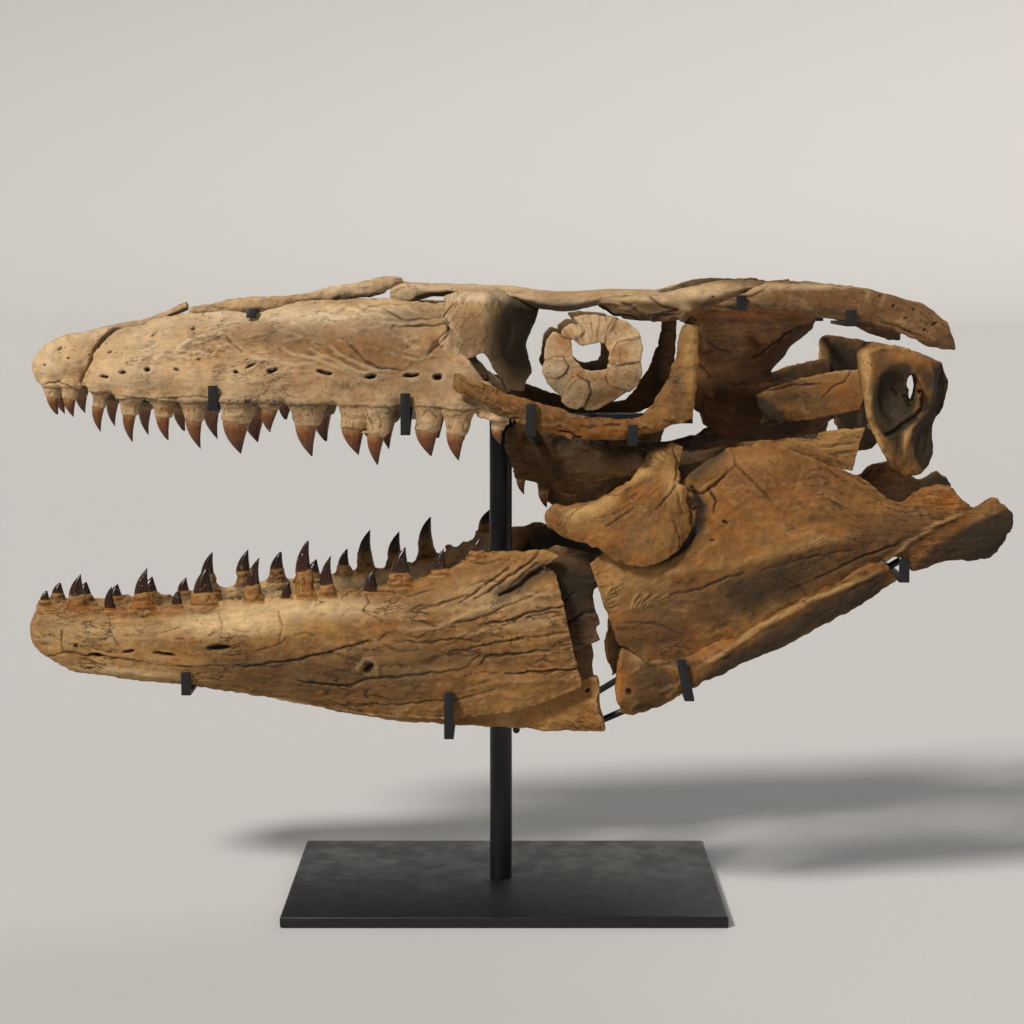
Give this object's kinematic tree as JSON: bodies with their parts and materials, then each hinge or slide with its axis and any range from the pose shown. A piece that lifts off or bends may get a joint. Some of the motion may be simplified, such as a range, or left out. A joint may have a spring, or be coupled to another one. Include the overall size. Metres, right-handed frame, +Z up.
{
  "type": "mosasaur skull fossil",
  "caption": "Life-size fossil skull of a large marine lizard, jaws agape, its bones held slightly apart by clips on a black steel post and base.",
  "frame": {"origin": "middle of the floor under the stand, below the centre of the overall box", "axes": "-X along the snout, -Y toward the skull's left side, which the picture shows, +Z up"},
  "size_m": [1.016, 0.3376, 0.661],
  "materials": {
    "cream_bone": "matt cream fossil bone, stained in its cracks",
    "tan_bone": "matt tan fossil bone with dark glossy brown tooth crowns",
    "orange_bone": "matt orange-tan fossil bone",
    "brown_bone": "matt dark brown fossil bone",
    "black_steel": "satin black paint"
  },
  "bodies": {
    "root": {"premaxilla": "cream_bone", "internarial_bar": "cream_bone", "frontal": "cream_bone", "parietal": "brown_bone", "braincase": "brown_bone", "palate": "tan_bone", "maxilla_left": "cream_bone", "maxilla_right": "cream_bone", "prefrontal_left": "cream_bone", "prefrontal_right": "cream_bone", "postorbitofrontal_left": "tan_bone", "postorbitofrontal_right": "tan_bone", "jugal_left": "tan_bone", "jugal_right": "tan_bone", "squamosal_left": "tan_bone", "squamosal_right": "tan_bone", "supratemporal_left": "brown_bone", "supratemporal_right": "brown_bone", "opisthotic_left": "orange_bone", "opisthotic_right": "orange_bone", "quadrate_left": "orange_bone", "quadrate_right": "orange_bone", "pterygoid_left": "tan_bone", "pterygoid_right": "tan_bone", "sclerotic_ring_left": "cream_bone", "sclerotic_ring_right": "cream_bone", "dentary_left": "tan_bone", "dentary_right": "tan_bone", "splenial_left": "tan_bone", "splenial_right": "tan_bone", "angular_left": "orange_bone", "angular_right": "orange_bone", "surangular_left": "orange_bone", "surangular_right": "orange_bone", "coronoid_left": "orange_bone", "coronoid_right": "orange_bone", "prearticular_left": "brown_bone", "prearticular_right": "brown_bone", "stand_base": "black_steel", "stand_post": "black_steel", "stand_rail_front": "black_steel", "stand_rail_rear": "black_steel", "stand_jaw_crossbar": "black_steel", "stand_eye_arm": "black_steel", "stand_jaw_rod_left": "black_steel", "stand_jaw_rod_right": "black_steel", "stand_clip_maxilla_front": "black_steel", "stand_clip_maxilla_rear": "black_steel", "stand_clip_jugal_front": "black_steel", "stand_clip_jugal_rear": "black_steel", "stand_clip_jaw_front": "black_steel", "stand_clip_jaw_middle": "black_steel", "stand_clip_jaw_rear": "black_steel", "stand_clip_jaw_hinge": "black_steel", "stand_clip_naris_left": "black_steel", "stand_clip_naris_right": "black_steel", "stand_clip_arch_front_left": "black_steel", "stand_clip_arch_front_right": "black_steel", "stand_clip_arch_rear_left": "black_steel", "stand_clip_arch_rear_right": "black_steel"}
  },
  "joints": []
}
